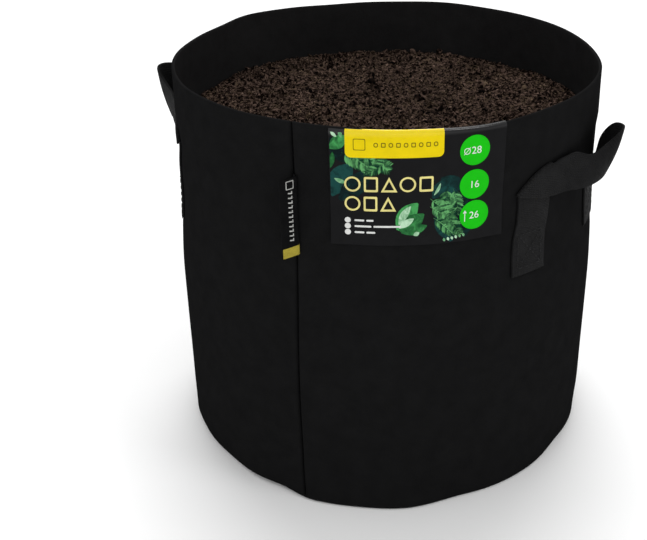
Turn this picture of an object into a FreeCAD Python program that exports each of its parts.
import FreeCAD, Part
import math
import os

# Fabric grow bag: a round felt pot with two webbing handles, filled with potting mix.
#
# The bag stands on z = 0 with its axis on +Z and its side seam on -Y. A felt panel is rolled into the
# wall and sewn to itself with a pinched seam, whose allowances stand into the bag. A felt disc closes the
# bottom, sewn to the wall through two upturned allowances. Two folded straps are box-stitched to the wall,
# and each strap's free loop swings. A folded card hooks over the rim, and a woven tag is caught in the seam.
# All lengths are in millimetres. An azimuth of 0 is -Y, and it grows towards +X.

# Driving dimensions of the bag
DIAMETER = 280.0
HEIGHT = 260.0
FELT = 2.0
SEAM_ALLOWANCE = 11.0
SIDE_FLANGE_LIFT = 1.5
CLIP_SLOPE = 0.9
SEAM_SLIT = 0.7
GROOVE_WIDTH = 3.2
GROOVE_DEPTH = 1.1
LAYER_GAP = 0.3
BASE_FLANGE_TOP = 12.0
BASE_BEND = 2.6

# Soil fill
SOIL_DEPTH_BELOW_RIM = 42.0
SOIL_CROWN = 6.0
SOIL_CLEARANCE = 1.2
SOIL_FLOOR_GAP = 0.2
SOIL_SLOT_GAP = 0.5

# Handles: each strap has two sewn legs and one free loop between them
HANDLE_AZIMUTH = 77.7
STRAP_WIDTH = 27.0
STRAP_THICKNESS = 1.7
STRAP_GAP = 0.15

# Each leg: its middle line's distance along the wall from the middle of the handle, its lower end, and the
# heights of its inner and outer top corners. The front leg ends at a slanting fold, the rear leg runs on
# straight into the loop.
LEG_OFFSETS = {"front": 44.0, "rear": 31.5}
LEG_BOTTOMS = {"front": 157.0, "rear": 162.0}
LEG_TOPS = {"front": (227.0, 209.0), "rear": (196.0, 196.0)}

# Folded card over the rim
CARD_WIDTH = 100.0
CARD_HEIGHT = 72.0
CARD_FLAP = 28.0
CARD_THICKNESS = 0.4
CARD_GAP = 0.25
CARD_SPRING_DROP = 0.4
CARD_AZIMUTH = 29.9

# Woven flag tag caught in the side seam: it stands out, leans towards -X and flips about its root
TAG_WIDTH = 11.6
TAG_ROOT = 0.8
TAG_ROOT_GAP = 0.4
TAG_THICKNESS = 0.6
TAG_BOTTOM = 179.0
TAG_TOP = 229.0
TAG_LEAN = 21.5
TAG_TAIL = 8.0

# Sewing thread, with the share of its pitch that one stitch covers
THREAD = 0.7
STITCH_SHARE = 0.84
BASE_STITCH = 6.0
BASE_STITCH_DROP = 4.0
SIDE_STITCH = 5.0
SIDE_STITCH_INSET = 5.0
SIDE_STITCH_START = 4.0
SIDE_STITCH_END = 11.0
BOX_STITCH = 3.9
BOX_WIDTH = 19.0
BOX_HEIGHT = 22.0
BOX_RISE = 5.0

# Worked out from the dimensions above
R_OUT = DIAMETER / 2
R_IN = R_OUT - FELT
WALL_FLANGE_OUT = R_IN - LAYER_GAP
WALL_FLANGE_IN = WALL_FLANGE_OUT - FELT
BASE_FLANGE_OUT = WALL_FLANGE_IN - LAYER_GAP
BASE_FLANGE_IN = BASE_FLANGE_OUT - FELT
SIDE_FLANGE_BOTTOM = BASE_FLANGE_TOP + SIDE_FLANGE_LIFT
SIDE_FLANGE_R = R_IN - SEAM_ALLOWANCE


def vec(x, y, z):
    return FreeCAD.Vector(x, y, z)


def outward(azimuth):
    """Unit vector away from the axis at an azimuth in degrees."""
    a = math.radians(azimuth)
    return vec(math.sin(a), -math.cos(a), 0)


def along(azimuth):
    """Unit vector along the wall, in the direction of growing azimuth."""
    a = math.radians(azimuth)
    return vec(math.cos(a), math.sin(a), 0)


def on_wall(azimuth, arc, radius, z):
    """The point that lies arc millimetres along the wall from azimuth, at a radius and a height."""
    p = outward(azimuth + math.degrees(arc / R_OUT)) * radius
    return vec(p.x, p.y, z)


def profile_point(r, z):
    """A point of a radial profile, drawn in the half plane at azimuth 0."""
    return vec(0, -r, z)


def polyline(points):
    return [Part.makeLine(profile_point(*a), profile_point(*b)) for a, b in zip(points, points[1:])]


def arc_edge(start, middle, end):
    """A circular edge of a radial profile through three (r, z) points."""
    return Part.Arc(profile_point(*start), profile_point(*middle), profile_point(*end)).toShape()


def revolve(edges, start=0.0, sweep=360.0):
    """Turns a closed radial profile about +Z, from azimuth start through sweep degrees."""
    face = Part.Face(Part.Wire(Part.__sortEdges__(edges)))
    solid = face.revolve(vec(0, 0, 0), vec(0, 0, 1), sweep)
    solid.rotate(vec(0, 0, 0), vec(0, 0, 1), start)
    return solid


def ring(r_in, r_out, z_low, z_high, start=0.0, sweep=360.0):
    corners = [(r_in, z_low), (r_out, z_low), (r_out, z_high), (r_in, z_high), (r_in, z_low)]
    return revolve(polyline(corners), start, sweep)


def seam_block(x_low, x_high, r_low, r_high, z_low, z_high):
    """A box at the side seam, which lies on -Y: x runs along the wall and r away from the axis."""
    return Part.makeBox(x_high - x_low, r_high - r_low, z_high - z_low, vec(x_low, -r_high, z_low))


def wall_patch(azimuth, outline, r_in, r_out):
    """A curved plate on the wall, from an outline of (arc, z) points about an azimuth."""
    reach = 12.0
    start, cut = outward(azimuth) * (r_in - reach), outward(azimuth) * (2 * reach)
    corners = [start + along(azimuth) * t + vec(0, 0, z) for t, z in outline]
    prism = Part.Face(Part.makePolygon(corners + corners[:1])).extrude(cut)
    heights = [z for _, z in outline]
    return prism.common(ring(r_in, r_out, min(heights) - 1, max(heights) + 1))


def side_wall():
    """The rolled felt panel: a tube whose lower edge turns in and up, with two side seam allowances."""
    turn = (R_OUT - WALL_FLANGE_IN) / 2
    mid = R_OUT - turn
    slack = LAYER_GAP / 2
    edges = polyline([(R_OUT, turn), (R_OUT, HEIGHT), (R_IN, HEIGHT), (R_IN, turn)])
    edges += [arc_edge((R_IN, turn), (mid, turn - slack), (WALL_FLANGE_OUT, turn))]
    edges += polyline(
        [(WALL_FLANGE_OUT, turn), (WALL_FLANGE_OUT, BASE_FLANGE_TOP)]
        + [(WALL_FLANGE_IN, BASE_FLANGE_TOP), (WALL_FLANGE_IN, turn)]
    )
    edges += [arc_edge((WALL_FLANGE_IN, turn), (mid, 0.0), (R_OUT, turn))]
    tube = revolve(edges)
    half = SEAM_SLIT / 2
    tube = tube.cut(seam_block(-half, half, WALL_FLANGE_IN - 1, R_OUT + 1, -1, HEIGHT + 1))
    tube = tube.cut(seam_groove())
    for low in (-half - FELT, half):
        tube = tube.fuse(side_flange(low))
    return tube.removeSplitter()


def side_flange(x_low):
    """One allowance of the side seam, with its top corner clipped below the rim."""
    overlap, clip = 0.5, SEAM_ALLOWANCE * CLIP_SLOPE
    outline = [
        (R_IN + overlap, SIDE_FLANGE_BOTTOM),
        (R_IN + overlap, HEIGHT),
        (R_IN, HEIGHT),
        (SIDE_FLANGE_R, HEIGHT - clip),
        (SIDE_FLANGE_R, SIDE_FLANGE_BOTTOM),
    ]
    corners = [vec(x_low, -r, z) for r, z in outline]
    return Part.Face(Part.makePolygon(corners + corners[:1])).extrude(vec(FELT, 0, 0))


def seam_groove():
    """The shallow valley where the felt rolls into the side seam."""
    mouth, half, floor, lid = GROOVE_WIDTH / 2, SEAM_SLIT / 2, R_OUT - GROOVE_DEPTH, R_OUT + 0.3
    corners = [(-mouth, lid), (mouth, lid), (half, floor), (-half, floor)]
    base = [vec(x, -r, -1) for x, r in corners]
    return Part.Face(Part.makePolygon(base + base[:1])).extrude(vec(0, 0, HEIGHT + 2))


def base_panel():
    """The felt disc under the soil, with its edge turned up inside the wall's own allowance."""
    corner = BASE_FLANGE_OUT - BASE_BEND
    inner = BASE_BEND - FELT
    diagonal = math.sqrt(0.5)
    edges = polyline([(0, FELT), (0, 0), (corner, 0)])
    edges += [
        arc_edge(
            (corner, 0),
            (corner + BASE_BEND * diagonal, BASE_BEND * (1 - diagonal)),
            (BASE_FLANGE_OUT, BASE_BEND),
        )
    ]
    edges += polyline(
        [(BASE_FLANGE_OUT, BASE_BEND), (BASE_FLANGE_OUT, BASE_FLANGE_TOP)]
        + [(BASE_FLANGE_IN, BASE_FLANGE_TOP), (BASE_FLANGE_IN, BASE_BEND)]
    )
    edges += [
        arc_edge(
            (BASE_FLANGE_IN, BASE_BEND),
            (corner + inner * diagonal, BASE_BEND - inner * diagonal),
            (corner, FELT),
        )
    ]
    edges += polyline([(corner, FELT), (0, FELT)])
    return revolve(edges)


def potting_mix():
    """The soil as one plug: it fills the bag, clears the allowances and has a crowned top."""
    r_low = BASE_FLANGE_IN - THREAD - SOIL_CLEARANCE
    r_high = R_IN - SOIL_CLEARANCE
    edge_top = HEIGHT - SOIL_DEPTH_BELOW_RIM
    step = SIDE_FLANGE_BOTTOM
    floor = FELT + SOIL_FLOOR_GAP
    sphere = (r_high**2 + SOIL_CROWN**2) / (2 * SOIL_CROWN)
    slope = math.asin(r_high / sphere) / 2
    crown = (sphere * math.sin(slope), edge_top + SOIL_CROWN - sphere * (1 - math.cos(slope)))
    edges = polyline(
        [(0, edge_top + SOIL_CROWN), (0, floor), (r_low, floor), (r_low, step)]
        + [(r_high, step), (r_high, edge_top)]
    )
    edges += [arc_edge((r_high, edge_top), crown, (0, edge_top + SOIL_CROWN))]
    half = SEAM_SLIT / 2 + FELT + THREAD + SOIL_SLOT_GAP
    slot = seam_block(-half, half, SIDE_FLANGE_R - 1, R_OUT, 0, HEIGHT)
    return revolve(edges).cut(slot)


def seam_tag_tail():
    """The end of the folded ribbon tag, caught between the allowances of the side seam."""
    half = TAG_THICKNESS / 2
    return seam_block(-half, half, R_OUT - TAG_TAIL, R_OUT, TAG_BOTTOM, TAG_TOP)


def seam_tag_flag():
    """The free part of the folded ribbon tag, which turns about its root just outside the seam."""
    width = TAG_WIDTH - TAG_ROOT_GAP
    corner = vec(-TAG_THICKNESS / 2, -TAG_WIDTH, 0)
    flag = Part.makeBox(TAG_THICKNESS, width, TAG_TOP - TAG_BOTTOM, corner)
    flag.rotate(vec(0, 0, 0), vec(0, 0, 1), -TAG_LEAN)
    flag.translate(vec(0, -R_OUT - TAG_ROOT, TAG_BOTTOM))
    return flag


def info_card():
    """A card folded over the rim: a printed panel outside and a short flap inside."""
    out_in, in_out = R_OUT + CARD_GAP, R_IN - CARD_GAP
    out_out, in_in = out_in + CARD_THICKNESS, in_out - CARD_THICKNESS
    mid, spring = (R_OUT + R_IN) / 2, HEIGHT - CARD_SPRING_DROP
    big, small = out_out - mid, out_in - mid
    edges = [
        arc_edge((out_out, spring), (mid, spring + big), (in_in, spring)),
        arc_edge((out_in, spring), (mid, spring + small), (in_out, spring)),
    ]
    low, flap = HEIGHT - CARD_HEIGHT, HEIGHT - CARD_FLAP
    edges += polyline([(out_out, spring), (out_out, low), (out_in, low), (out_in, spring)])
    edges += polyline([(in_in, spring), (in_in, flap), (in_out, flap), (in_out, spring)])
    sweep = math.degrees(CARD_WIDTH / R_OUT)
    return revolve(edges, CARD_AZIMUTH - sweep / 2, sweep)


def strap_leg(handle_azimuth, end, side):
    """One sewn leg: vertical webbing up to the fold or the loop. side is -1 or 1 along the wall."""
    azimuth = handle_azimuth + math.degrees(side * LEG_OFFSETS[end] / R_OUT)
    inner, outer = -side * STRAP_WIDTH / 2, side * STRAP_WIDTH / 2
    inner_top, outer_top = LEG_TOPS[end]
    low = LEG_BOTTOMS[end]
    outline = [(inner, low), (outer, low), (outer, outer_top), (inner, inner_top)]
    r_in = R_OUT + STRAP_GAP
    return wall_patch(azimuth, outline, r_in, r_in + STRAP_THICKNESS)


# Each free loop's lower and upper edge as (arc, standoff, z) points, from the leg near the seam to the far
# one. Arc is along the wall from the middle of the handle, and standoff is out from the wall.
LOOPS = {
    "right": {
        "lower": [
            (-53.5, 3.4, 208.0),
            (-40.0, 3.5, 206.0),
            (-28.0, 3.6, 204.0),
            (-18.0, 6.5, 204.5),
            (-6.0, 11.5, 205.0),
            (6.0, 13.0, 205.0),
            (17.0, 13.0, 205.0),
            (22.0, 11.5, 203.0),
            (22.0, 8.0, 201.0),
            (20.5, 4.9, 199.0),
            (19.3, 3.2, 198.0),
        ],
        "upper": [
            (-33.0, 3.4, 223.5),
            (-26.5, 3.5, 224.0),
            (-20.0, 3.6, 224.5),
            (-7.0, 4.6, 224.5),
            (4.0, 10.0, 225.0),
            (11.0, 15.0, 229.0),
            (16.0, 22.0, 237.0),
            (24.0, 15.5, 235.0),
            (33.0, 9.0, 227.0),
            (41.0, 5.2, 217.0),
            (44.3, 3.4, 206.0),
        ],
    },
    "left": {
        "lower": [
            (-53.5, 3.4, 208.0),
            (-40.0, 3.6, 206.0),
            (-28.0, 3.9, 204.5),
            (-17.0, 5.0, 204.5),
            (-5.0, 9.0, 204.5),
            (8.0, 15.5, 204.5),
            (19.0, 17.0, 204.5),
            (23.0, 14.0, 203.0),
            (22.5, 9.0, 201.0),
            (20.5, 5.2, 199.0),
            (19.3, 3.4, 198.0),
        ],
        "upper": [
            (-33.0, 3.4, 223.5),
            (-26.5, 3.6, 224.0),
            (-20.0, 4.4, 224.5),
            (-9.0, 8.0, 226.0),
            (0.0, 15.0, 230.5),
            (9.0, 24.5, 237.5),
            (19.0, 25.5, 238.0),
            (26.5, 18.5, 235.0),
            (34.0, 10.5, 227.0),
            (41.0, 5.8, 217.0),
            (44.3, 3.6, 206.0),
        ],
    },
}


def strap_loop(name, sign):
    """The free loop of one handle: a strip between its two edges. sign is the side of the seam."""
    azimuth = sign * HANDLE_AZIMUTH

    def place(point):
        arc, standoff, z = point
        return on_wall(azimuth, sign * arc, R_OUT + standoff, z)

    lower = [place(p) for p in LOOPS[name]["lower"]]
    upper = [place(p) for p in LOOPS[name]["upper"]]
    middle = [(a + b) * 0.5 for a, b in zip(lower, upper)]
    sections = []
    for i, (low, high) in enumerate(zip(lower, upper)):
        forward = middle[min(i + 1, len(middle) - 1)] - middle[max(i - 1, 0)]
        normal = forward.cross(high - low)
        normal.normalize()
        half = normal * (STRAP_THICKNESS / 2)
        corners = [low - half, high - half, high + half, low + half]
        sections.append(Part.makePolygon(corners + corners[:1]))
    ruled = True
    return Part.makeLoft(sections, True, ruled)


def stitch_link(length, depth):
    """One stitch as a closed thread loop: along X on both faces of the cloth, and along Y through it."""
    radius = THREAD / 2
    x, y = length / 2, depth / 2 + radius * 0.6
    bend = radius * 1.6
    straights = [
        ((-x + bend, y), (x - bend, y)),
        ((x, y - bend), (x, -y + bend)),
        ((x - bend, -y), (-x + bend, -y)),
        ((-x, -y + bend), (-x, y - bend)),
    ]
    centres = [(x - bend, y - bend), (x - bend, -y + bend), (-x + bend, -y + bend), (-x + bend, y - bend)]
    edges = []
    for k, ((start, end), centre) in enumerate(zip(straights, centres)):
        following = straights[(k + 1) % 4][0]
        outer = [math.copysign(math.sqrt(0.5) * bend, c) for c in centre]
        middle = vec(centre[0] + outer[0], centre[1] + outer[1], 0)
        edges.append(Part.makeLine(vec(*start, 0), vec(*end, 0)))
        edges.append(Part.Arc(vec(*end, 0), middle, vec(*following, 0)).toShape())
    path = Part.Wire(edges)
    circle = Part.makeCircle(radius, vec(-x + bend, y, 0), vec(1, 0, 0))
    return path.makePipeShell([Part.Wire([circle])], True, False)


def placed(shape, origin, x_axis, y_axis):
    """A copy of a shape drawn in its own X and Y, put at origin with those two axes."""
    z_axis = x_axis.cross(y_axis)
    rows = zip((x_axis.x, x_axis.y, x_axis.z), (y_axis.x, y_axis.y, y_axis.z), (z_axis.x, z_axis.y, z_axis.z))
    matrix = FreeCAD.Matrix()
    values = [list(r) + [o] for r, o in zip(rows, (origin.x, origin.y, origin.z))]
    matrix.A = [v for row in values for v in row] + [0, 0, 0, 1]
    copy = shape.copy()
    copy.Placement = FreeCAD.Placement(matrix)
    return copy


def base_seam_thread():
    """The row of stitches through both upturned allowances at the bottom."""
    mid = (WALL_FLANGE_OUT + BASE_FLANGE_IN) / 2
    link = stitch_link(BASE_STITCH * STITCH_SHARE, WALL_FLANGE_OUT - BASE_FLANGE_IN)
    count = round(2 * math.pi * mid / BASE_STITCH)
    z = BASE_FLANGE_TOP - BASE_STITCH_DROP
    turn = 360.0 / count
    azimuths = [turn * (k + 0.5) for k in range(count)]
    stitches = [placed(link, outward(a) * mid + vec(0, 0, z), along(a), outward(a)) for a in azimuths]
    return Part.makeCompound(stitches)


def side_seam_thread():
    """The row of stitches through the two allowances of the side seam."""
    link = stitch_link(SIDE_STITCH * STITCH_SHARE, 2 * FELT + SEAM_SLIT)
    r = R_IN - SIDE_STITCH_INSET
    low = SIDE_FLANGE_BOTTOM + SIDE_STITCH_START
    count = int((HEIGHT - SIDE_STITCH_END - low) / SIDE_STITCH) + 1
    heights = [low + SIDE_STITCH * k for k in range(count)]
    return Part.makeCompound([placed(link, vec(0, -r, z), vec(0, 0, 1), vec(1, 0, 0)) for z in heights])


def box_lines(leg_bottom):
    """The box-and-cross pattern on a leg, as pairs of (arc, z) ends about the leg's middle line."""
    w, low = BOX_WIDTH / 2, leg_bottom + BOX_RISE
    high = low + BOX_HEIGHT
    box = [(-w, low), (w, low), (w, high), (-w, high)]
    sides = list(zip(box, box[1:] + box[:1]))
    return sides + [(box[0], box[2]), (box[1], box[3])]


def leg_thread(handle_azimuth, end, side):
    """The box stitch that holds one leg to the wall."""
    azimuth = handle_azimuth + math.degrees(side * LEG_OFFSETS[end] / R_OUT)
    depth = FELT + STRAP_THICKNESS + STRAP_GAP
    mid = R_IN + depth / 2
    link = stitch_link(BOX_STITCH * STITCH_SHARE, depth)
    stitches = []
    for (t0, z0), (t1, z1) in box_lines(LEG_BOTTOMS[end]):
        length = math.hypot(t1 - t0, z1 - z0)
        count = max(1, int(length / BOX_STITCH))
        for k in range(count):
            share = (k + 0.5) / count
            t, z = t0 + (t1 - t0) * share, z0 + (z1 - z0) * share
            here = azimuth + math.degrees(t / R_OUT)
            run = along(here) * ((t1 - t0) / length) + vec(0, 0, (z1 - z0) / length)
            stitches.append(placed(link, on_wall(azimuth, t, mid, z), run, outward(here)))
    return Part.makeCompound(stitches)


def build():
    """Every node by name."""
    nodes = {
        "side_wall": side_wall(),
        "base_panel": base_panel(),
        "side_seam_thread": side_seam_thread(),
        "base_seam_thread": base_seam_thread(),
        "seam_tag_tail": seam_tag_tail(),
        "seam_tag_flag": seam_tag_flag(),
        "info_card": info_card(),
        "potting_mix": potting_mix(),
    }
    for name, sign in (("right", 1), ("left", -1)):
        azimuth = sign * HANDLE_AZIMUTH
        nodes[f"{name}_strap_loop"] = strap_loop(name, sign)
        for end, toward in (("front", -sign), ("rear", sign)):
            nodes[f"{name}_{end}_strap_leg"] = strap_leg(azimuth, end, toward)
            nodes[f"{name}_{end}_leg_thread"] = leg_thread(azimuth, end, toward)
    return nodes


os.makedirs("parts", exist_ok=True)
for node, shape in build().items():
    if not shape.isValid():
        print("invalid shape:", node)
    shape.exportStep(os.path.join("parts", node + ".step"))
    print(node, "solids", len(shape.Solids), "volume", round(shape.Volume, 1))
